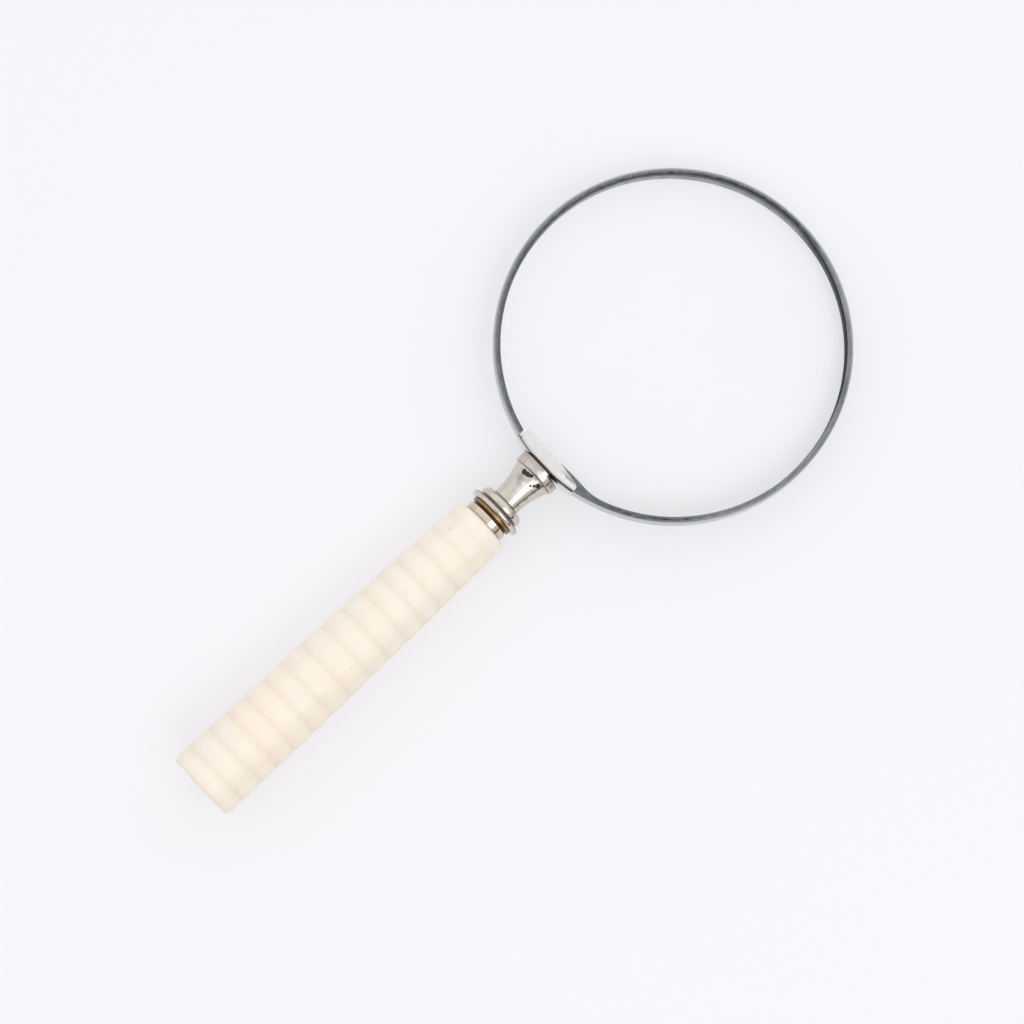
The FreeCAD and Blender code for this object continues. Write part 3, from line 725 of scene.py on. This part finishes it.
# ---- Saddle and boss ----
def add_saddle(material):
    """Folded sheet over both edges of the rim: a mid-surface with half its thickness each way."""
    half = SADDLE_SHEET / 2
    centre_r = RIM_R + CLEARANCE - SADDLE_FOLD_R
    fold = SADDLE_FOLD_R + half
    ends = np.array([0.0, 0.05, 0.12, 0.2, 0.35, 0.6, 0.9, 1.3])
    rows = np.concatenate([-SADDLE_HALF_LENGTH + ends, np.linspace(-9.2, 9.2, 47),
                           SADDLE_HALF_LENGTH - ends[::-1]])
    grid, edge, bent, fold_shade = [], [], [], []

    def painted_fold_shade(x, z, root, crease, crease_x):
        """Painted shade: dark on the outer fold, a little on the creased end."""
        turn = math.degrees(math.atan2(z - ROLL_CENTRE_Z, root - x)) if x < root and z > 0 else 90.0
        on_crease = 0.3 * crease * clamp01((x - crease_x) / 0.35) if z > 3.5 else 0.0
        return max(0.85 * math.exp(-((turn - 50) / 15.0) ** 2), on_crease)
    for y in rows:
        near_end = SADDLE_HALF_LENGTH - abs(y)
        thinned = math.sqrt(max(0.09, 1 - (1 - near_end / 0.2) ** 2))
        thick = half * (1.0 if near_end >= 0.2 else thinned)
        corner = max(0.0, SADDLE_CORNER_R - near_end)
        cut = SADDLE_CORNER_R - math.sqrt(max(0.0, SADDLE_CORNER_R ** 2 - corner ** 2))
        cut = cut * (1.0 if y > 0 else 0.55) + 0.25 + 0.15 * max(0.0, -4.5 - y)
        lift = 0.22 * max(0.0, (abs(y) - 7.5) / 3.4) ** 2
        crease = clamp01((-3.8 - y) / 3.0)

        def at(radius):
            return RIM_CENTRE - math.sqrt(radius ** 2 - y ** 2)
        middle = []
        tip, root = RIM_CENTRE - SADDLE_CHORD - cut, at(centre_r)
        crease_x = 131.0 + 0.11 * max(0.0, -4.8 - y)
        for t in np.linspace(0, 1, 17):
            x = tip + (root - tip) * t
            rise = lift * (1 - t) ** 1.5 + crease * 0.3 * clamp01((x - crease_x) / 0.7)
            rise -= 0.14 * crease * clamp01(1 - abs(x - crease_x + 0.3) / 0.7)
            middle.append((x, ROLL_CENTRE_Z + fold - 0.3 * crease + rise, 0.0, 1.0))
        for a in np.linspace(90, 0, 11)[1:]:
            c, s = math.cos(math.radians(a)), math.sin(math.radians(a))
            z = ROLL_CENTRE_Z + (fold - 0.3 * crease) * s
            middle.append((at(centre_r + fold * c), z, -c, s))
        for z in np.linspace(ROLL_CENTRE_Z, 0, 5)[1:]:
            middle.append((at(centre_r + fold), z, -1.0, 0.0))
        middle += [(x, -z, nx, -nz) for x, z, nx, nz in reversed(middle[:-1])]
        section = [(x + nx * thick, z + nz * thick, 0) for x, z, nx, nz in middle]
        caps = [[(x + 0.7 * thick * math.sin(a), z - thick * math.cos(a), 1)
                 for a in np.radians((40, 90, 140))] for x, z, _, _ in (middle[-1], middle[0])]
        section += caps[0]
        section += [(x - nx * thick, z - nz * thick, 2) for x, z, nx, nz in reversed(middle)]
        section += caps[1]
        grid.append([(x, y, z) for x, z, _ in section])
        end_edge = 0.4 if near_end < 0.15 else 0.0
        edge.append([max(0.5 if kind == 1 else 0.0, end_edge) for _, _, kind in section])
        bent.append([clamp01((root + 0.35 - x) / 0.5) for x, _, _ in section])
        fold_shade.append([painted_fold_shade(x, z, root, crease, crease_x) for x, z, _ in section])
    grid = np.array(grid)
    rows_n, section_n = grid.shape[:2]
    index = np.arange(rows_n * section_n).reshape(rows_n, section_n)
    faces = [(index[i, j], index[i + 1, j], index[i + 1, k], index[i, k])
             for i in range(rows_n - 1) for j in range(section_n) for k in [(j + 1) % section_n]]
    # the two ends: a strip between the outside and the inside of the section
    mids = (section_n - 6) // 2
    for row, flip in ((0, 1), (rows_n - 1, -1)):
        outer = list(range(mids))
        inside = [section_n - 4 - k for k in range(mids)]
        for k in range(mids - 1):
            corners = (outer[k], outer[k + 1], inside[k + 1], inside[k])
            faces.append([index[row, place] for place in corners][::flip])
        near_cap = [index[row, section_n - 3 + k] for k in range(3)]
        first = [index[row, outer[0]], index[row, inside[0]], *near_cap]
        far_cap = [index[row, mids + k] for k in range(3)]
        last = [index[row, outer[-1]], *far_cap, index[row, inside[-1]]]
        faces += [first[::flip], last[::flip]]
    values = {"edge": np.array(edge), "bent": np.array(bent), "shade_and_stain": np.array(fold_shade)}
    piece = build("saddle", grid.reshape(-1, 3), faces, values, sharp=45.0)
    finished(piece, "head", "saddle", material)


def add_boss(material):
    """A short collar whose far end follows the saddle's curve."""
    far = RIM_CENTRE - SADDLE_R + 0.6
    corners = [
        (STEM_END, STUD_BORE_R, 0.0), (STEM_END, BOSS_R, BOSS_ROUND),
        (far, BOSS_R, 0.06), (far, STUD_BORE_R, 0.0),
    ]
    outline = refined(rounded(corners, 7), 0.45)

    def fitted(along, out, angle):
        y = out * np.cos(angle)
        end = RIM_CENTRE - np.sqrt(SADDLE_R ** 2 - y ** 2)
        end = end - 0.95 * clamp01((-2.2 - y) / 4.4) ** 0.7 * clamp01((out - 3.5) / 1.5)
        share = clamp01((along - STEM_END) / (far - STEM_END))
        return STEM_END + share * (end - STEM_END), out
    points, faces, values = turned(outline, 160, fitted)
    y = points[:, 1]
    to_face = points[:, 0] - (RIM_CENTRE - np.sqrt(SADDLE_R ** 2 - y ** 2))
    # Painted shade: a dark line where the boss meets the saddle, a little over the whole boss and
    # more within 2 mm of the saddle, and black inside the gap on the -Y side.
    seam = 0.8 * clamp01((to_face + 0.45) / 0.35)
    near_saddle_shade = 0.1 + 0.16 * clamp01((to_face + 2.0) / 1.4)
    gap = clamp01((-2.6 - y) / 0.5) * clamp01((to_face + 1.25) / 0.3)
    values["shade_and_stain"] = np.maximum(np.maximum(seam, near_saddle_shade), gap)
    made("saddle_boss", "head", "nickel_plate", material, points, faces, values)


# ---- Stem ----
def add_stem(material):
    """A round bead and a trumpet that widens towards the rim, in one turned piece."""
    bead = arc_through((FLANGE_END, BEAD_ROOT_R), ((FLANGE_END + BEAD_END) / 2, BEAD_R),
                       (BEAD_END, BEAD_ROOT_R), 21)
    waist = (BEAD_END, STEM_THIN_R + 0.15)
    bend = (BEAD_END + 0.6 * (STEM_END - BEAD_END), STEM_THIN_R + 0.3 * (STEM_WIDE_R - STEM_THIN_R))
    trumpet = arc_through((BEAD_END, STEM_THIN_R), bend, (STEM_END, STEM_WIDE_R), 31)[1:-1]
    rim = rounded([(STEM_END - 1.2, STEM_WIDE_R - 0.42, 0), (STEM_END, STEM_WIDE_R, 0.18),
                   (STEM_END, 3.0, 0)], 5)[1:-1]
    outline = [(FLANGE_END, 0.0), (FLANGE_END, ROD_R + CLEARANCE),
               (FLANGE_END, BEAD_ROOT_R)] + bead[1:-1]
    outline += [(BEAD_END, BEAD_ROOT_R), (BEAD_END + 0.06, BEAD_ROOT_R - 0.35),
                waist] + trumpet + rim
    outline += [(STEM_END, STUD_BORE_R), (STEM_END, 0.0)]
    points, faces, values = turned(refined(outline, 0.3, closed=False), 176, closed=False)
    x, y = points[:, 0], points[:, 1]
    # Painted shade: dark lines at the joints with the boss and the flange and at the waist, full on
    # the -Y side and weaker towards +Y.
    joint_line = 0.75 * np.exp(-((x - STEM_END) / 0.28) ** 2)
    waist_line = 0.6 * np.exp(-((x - BEAD_END - 0.1) / 0.35) ** 2)
    root_line = 0.7 * np.exp(-((x - FLANGE_END) / 0.3) ** 2)
    lines = np.maximum(np.maximum(joint_line, waist_line), root_line)
    values["shade_and_stain"] = lines * np.clip(1.0 - (y - 1.0) / 9.0, 0.3, 1.0)
    made("stem_neck", "head", "nickel_plate", material, points, faces, values, sharp=35.0)


def add_flange(material):
    """The widest collar, with a round edge."""
    half = (FLANGE_END - SPACER_END) / 2
    straight = FLANGE_R - half
    edge = arc_points((SPACER_END + half, straight), half, 180, 0, 19)
    outline = [(SPACER_END, ROD_R + CLEARANCE)] + edge + [(FLANGE_END, ROD_R + CLEARANCE)]
    points, faces, values = turned(refined(outline, 0.3), 176)
    # Painted shade on the side towards the bead.
    values["shade_and_stain"] = 0.65 * clamp01((points[:, 0] - SPACER_END - 0.95) / 0.3)
    made("flange_collar", "head", "nickel_plate", material, points, faces, values)


def add_spacer(material):
    """A brass ring with a hollow side and a raised lip."""
    start, end = FERRULE_END + CLEARANCE, SPACER_END - CLEARANCE
    lip = (end - start) / 4
    middle = ((start + end) / 2 - lip, SPACER_GROOVE_R - lip / 2)
    groove = arc_through((start, SPACER_GROOVE_R), middle, (end - 2 * lip, SPACER_R), 13)
    lip_edge = [(end - 1.7 * lip, SPACER_R), (end - 0.25 * lip, SPACER_R), (end, SPACER_R - 0.12)]
    outline = groove + lip_edge + [(end, BORE_R), (start, BORE_R)]
    points, faces, values = turned(refined(outline, 0.4), 160)
    made("spacer_ring", "spacer", "brass", material, points, faces, values, sharp=30.0)


def add_rod(material):
    """The threaded rod: a right-hand thread of real pitch, with plain pointed ends."""
    around, per_pitch = 48, 12
    pitches = int((ROD_END - ROD_START) / THREAD_PITCH) + 2
    rows = pitches * per_pitch + 1
    i = np.arange(rows)[:, None]
    j = np.arange(around)[None, :]
    along = ROD_START - THREAD_PITCH + i * THREAD_PITCH / per_pitch + j * THREAD_PITCH / around
    phase = np.abs(((i / per_pitch) % 1.0) - 0.5) * 2
    depth = clamp01(phase * 1.25 - 0.12)
    radius = ROD_R - THREAD_DEPTH * depth + 0 * j
    near = np.minimum(along - ROD_START, ROD_END - along)
    radius = np.minimum(radius, ROD_R - 0.5 + np.clip(near, 0, 0.5))
    along = np.clip(along, ROD_START, ROD_END)
    angle = 2 * math.pi * j / around + 0 * i
    grid = np.stack([along, radius * np.cos(angle), radius * np.sin(angle)], 2)
    index = np.arange(rows * around).reshape(rows, around)
    faces = []
    for row in range(rows - 1):
        for k in range(around):
            if k < around - 1:
                quad = (index[row, k], index[row + 1, k], index[row + 1, k + 1], index[row, k + 1])
            elif row + per_pitch + 1 < rows:
                quad = (index[row, k], index[row + 1, k], index[row + per_pitch + 1, 0],
                        index[row + per_pitch, 0])
            else:
                continue
            faces.append(quad)
    piece = build("tang_rod", grid.reshape(-1, 3), faces, {"depth": depth + 0 * j}, sharp=30.0)
    shell = bmesh.new()
    shell.from_mesh(piece.data)
    bmesh.ops.remove_doubles(shell, verts=shell.verts, dist=0.02 * MM)
    bmesh.ops.dissolve_degenerate(shell, edges=shell.edges, dist=0.005 * MM)
    loops = [e for e in shell.edges if len(e.link_faces) == 1]
    bmesh.ops.holes_fill(shell, edges=loops, sides=0)
    shell.to_mesh(piece.data)
    shell.free()
    finished(piece, "head", "tang_rod", material)


# ---- Handle ----
def crest_r(along):
    """The handle's radius over the crests of its ribs."""
    return BUTT_R - (BUTT_R - THIN_END_R) * (along / HANDLE_END) ** 2


def add_handle(material):
    """Sixteen rounded ribs turned by hand, so no two are quite alike."""
    places = np.concatenate([[0.0], np.cumsum(RIB_WIDTHS)])
    heights = [FLAT_RIB_HEIGHT if k >= len(RIB_WIDTHS) - FLAT_RIBS else RIB_HEIGHT
               for k in range(len(RIB_WIDTHS))]
    butt = arc_points((BUTT_ROUND, crest_r(0) - RIB_HEIGHT - 0.9), BUTT_ROUND, 180, 90, 10)
    nose_r = crest_r(HANDLE_END) - FLAT_RIB_HEIGHT - 1.6
    nose = arc_points((HANDLE_END - NOSE_ROUND, nose_r), NOSE_ROUND, 90, 0, 14)

    def skin(x):
        rib = min(int(np.searchsorted(places, x, side="right")) - 1, len(RIB_WIDTHS) - 1)
        t = (x - (places[rib] + places[rib + 1]) / 2) / (RIB_WIDTHS[rib] / 2)
        return crest_r(x) - heights[rib] * t * t
    step, blur, reach = 0.05, 0.5, 30
    sharp_x = np.arange(0.0, HANDLE_END + 0.01, step)
    raw = np.array([skin(x) for x in sharp_x])
    kernel = np.exp(-0.5 * (np.arange(-reach, reach + 1) * step / blur) ** 2)
    smooth = np.convolve(np.pad(raw, reach, mode="edge"), kernel / kernel.sum(), mode="valid")
    xs = np.arange(1.25, HANDLE_END - 1.8, 0.26)
    side = [(x, float(np.interp(x, sharp_x, smooth))) for x in xs]
    outside = [(0.0, 0.0), (0.0, 2.0), (0.0, 4.0), (0.0, 6.0), (0.0, 8.0),
               (0.0, 9.2)] + butt + side + nose
    bore = [
        (HANDLE_END, 6.9), (HANDLE_END, 6.2), (HANDLE_END, SPIGOT_R), (SPIGOT_END, SPIGOT_R),
        (SPIGOT_END, BUSH_R), (BUSH_START, BUSH_R), (BUSH_START, 0.0),
    ]
    outline = outside + bore
    waves = [ripple(100 + k, range(1, 6), 0.035) for k in range(len(places))]
    drift = [ripple(200 + k, range(1, 5), 0.11) for k in range(len(places))]
    body = ripple(300, range(2, 5), 0.05)

    def by_hand(along, out, angle):
        x = along[:, 0]
        skin_rows = (out[:, 0] > 7.0)[:, None]
        near = np.array([np.exp(-((x - p) / 1.6) ** 2) for p in places])
        groove_depth = sum(near[k][:, None] * waves[k](angle) for k in range(1, len(places) - 1))
        shift = sum(near[k][:, None] * drift[k](angle) for k in range(1, len(places) - 1))
        fade = clamp01(np.minimum(x, HANDLE_END - x) / 3.0)[:, None] * skin_rows
        return along + fade * shift, out + fade * (groove_depth + body(angle) * 0.5)
    segments = 168
    points, faces, values = turned(outline, segments, by_hand, closed=False)
    x = np.array([p[0] for p in outline])
    low = np.zeros(len(outline))
    for k, place in enumerate(places[1:-1], 1):
        depth = heights[min(k, len(heights) - 1)] / RIB_HEIGHT
        low = np.maximum(low, np.exp(-((x - place) / 1.15) ** 2) * depth)
    values["groove"] = spread(low, segments)
    made("handle_grip", "handle", "ivory", material, points, faces, values, sharp=50.0)


def add_ferrule(material):
    """The plated collar on the handle's thin end, with its spigot inside the handle."""
    spigot = SPIGOT_R - SPIGOT_FIT
    corners = [
        (SPIGOT_END, BORE_R, 0), (SPIGOT_END, spigot, 0), (HANDLE_END, spigot, 0),
        (HANDLE_END, FERRULE_R, 0.28), (FERRULE_END, FERRULE_R, 0.2), (FERRULE_END, BORE_R, 0),
    ]
    outline = refined(rounded(corners, 6), 0.5)
    points, faces, values = turned(outline, 160)
    # Painted shade: a dark line at the joint with the handle.
    values["shade_and_stain"] = 0.45 * np.exp(-((points[:, 0] - HANDLE_END - 0.2) / 0.35) ** 2)
    made("handle_ferrule", "handle", "nickel_plate", material, points, faces, values)


# ---- Surroundings ----
FLOOR_GLOW, LENS_GLOW, FLOOR_SIZE = 0.55, 0.018, 3.0
KEY_PLACE, KEY_SIZE, KEY_POWER = (-0.3, -1.4, 1.95), (2.2, 1.4), 16.0
ROOM_DARK = (0.12, 0.10, 0.085)
GLOSSY_BOUNCES = 12  # seen from low down, light crosses the lens in five or six inner reflections


def add_floor():
    """A pale floor that glows a little, and a touch more where the lens gathers light on it."""
    a, b = -FLOOR_SIZE, FLOOR_SIZE
    mesh = bpy.data.meshes.new("floor")
    mesh.from_pydata([(a, a, 0), (b, a, 0), (b, b, 0), (a, b, 0)], [], [(0, 1, 2, 3)])
    floor = bpy.data.objects.new("floor", mesh)
    SCENE.collection.objects.link(floor)
    g = Graph("floor_paper")
    place = g.node("ShaderNodeTexCoord").outputs["Object"]
    clouds = g.noise(place, 3.0, 3.0)
    colour = g.mix(g.span(clouds, 0.3, 0.7), (0.352, 0.35, 0.366), (0.356, 0.354, 0.37))
    middle = Vector(placed([[RIM_CENTRE, 0, 0]])[0])
    gathered = g.distance(g.scaled(place, (1.0, 1.0, 0.0)), (middle.x, middle.y, 0.0))
    glow = g.span(gathered, 0.036, 0.052, FLOOR_GLOW + LENS_GLOW, FLOOR_GLOW)
    g.surface(Base_Color=colour, Roughness=0.9, Specular_IOR_Level=0.1,
              Emission_Color=(0.98, 0.975, 1.0, 1.0), Emission_Strength=glow)
    mesh.materials.append(g.material)


def add_key_light():
    """A wide soft lamp on the photographer's side, aimed at the middle of the object."""
    lamp = bpy.data.lights.new("key", "AREA")
    lamp.shape = "RECTANGLE"
    lamp.size, lamp.size_y = KEY_SIZE
    lamp.energy = KEY_POWER
    light = bpy.data.objects.new("key", lamp)
    SCENE.collection.objects.link(light)
    light.location = KEY_PLACE
    light.rotation_euler = (-Vector(KEY_PLACE)).to_track_quat("-Z", "Y").to_euler()


def add_world():
    """A bright room: pale walls, a dark strip low on the window's side, someone at the table."""
    world = bpy.data.worlds.new("world")
    SCENE.world = world
    world.use_nodes = True
    tree = world.node_tree
    tree.nodes.clear()
    g = Graph.__new__(Graph)
    g.tree = tree
    way = g.node("ShaderNodeTexCoord").outputs["Generated"]

    def near(direction, inner, outer):
        """1 inside a cone round a direction, fading to 0 outside it; angles in degrees."""
        unit = Vector(direction).normalized()
        cosine = g.vectors("DOT_PRODUCT", way, tuple(unit)).outputs["Value"]
        return g.span(cosine, math.cos(math.radians(outer)), math.cos(math.radians(inner)))
    height = g.node("ShaderNodeSeparateXYZ", Vector=way).outputs["Z"]
    east = g.node("ShaderNodeSeparateXYZ", Vector=way).outputs["X"]
    colour = g.mix(near((0, 0, 1), 14, 40), (1.04, 1.04, 1.06), (0.94, 0.93, 0.92))
    colour = g.mix(g.span(east, -0.1, 0.45), colour, (1.12, 1.12, 1.13))
    colour = g.mix(near((0, -1, 0.4), 20, 60), colour, (0.78, 0.77, 0.76))
    band = g.times(g.span(height, -0.02, 0.02), g.span(height, 0.14, 0.26, 1.0, 0.0))
    band = g.times(band, g.span(near((-0.5, -0.86, 0), 30, 110), 0.0, 1.0, 0.2, 1.0, "LINEAR"))
    colour = g.mix(band, colour, ROOM_DARK)
    colour = g.mix(near((-0.82, -0.33, 0.46), 16, 27), colour, ROOM_DARK)
    background = g.node("ShaderNodeBackground", Color=colour, Strength=1.0)
    plain = g.node("ShaderNodeBackground", Color=(0.92, 0.92, 0.95, 1.0), Strength=1.0)
    seen = g.node("ShaderNodeLightPath").outputs["Is Camera Ray"]
    both = g.node("ShaderNodeMixShader", i0=seen, i1=background.outputs[0], i2=plain.outputs[0])
    g.node("ShaderNodeOutputWorld", Surface=both.outputs[0])


def main():
    add_camera()
    SCENE.view_settings.view_transform = "Standard"
    SCENE.view_settings.look = "None"
    SCENE.cycles.glossy_bounces = GLOSSY_BOUNCES
    nickel = plated_material("nickel_plate_old", linear(212, 203, 194), linear(222, 212, 198),
                             0.07, spots=PAINTED_DARK_REFLECTIONS, highlight_spots=PAINTED_HIGHLIGHTS)
    satin = plated_material("nickel_plate_satin", linear(226, 227, 225), linear(228, 226, 220),
                            0.16, brushed=0.4, spots=SADDLE_END_SHADE, painted_shade_colour=linear(58, 50, 42))
    warm = plated_material("nickel_plate_worn", linear(213, 200, 182), linear(222, 208, 188), 0.08,
                           painted_shade_colour=linear(112, 88, 66))
    steel, brass, ivory = steel_material(), brass_material("brass_aged"), ivory_material()
    add_lens(glass_material())
    add_liner(liner_material())
    add_rim(rim_material())
    add_saddle(satin)
    add_boss(nickel)
    add_stem(nickel)
    add_flange(nickel)
    add_spacer(brass)
    add_rod(steel)
    add_handle(ivory)
    add_ferrule(warm)
    for node in ("rim_stud_left", "rim_stud_right"):
        frame["nodes"][node].material_slots[0].material = steel
    bush = frame["nodes"]["tang_bush"]
    bush.material_slots[0].material = brass_material("brass_plain", own_place=True)
    add_floor()
    add_world()
    add_key_light()


main()
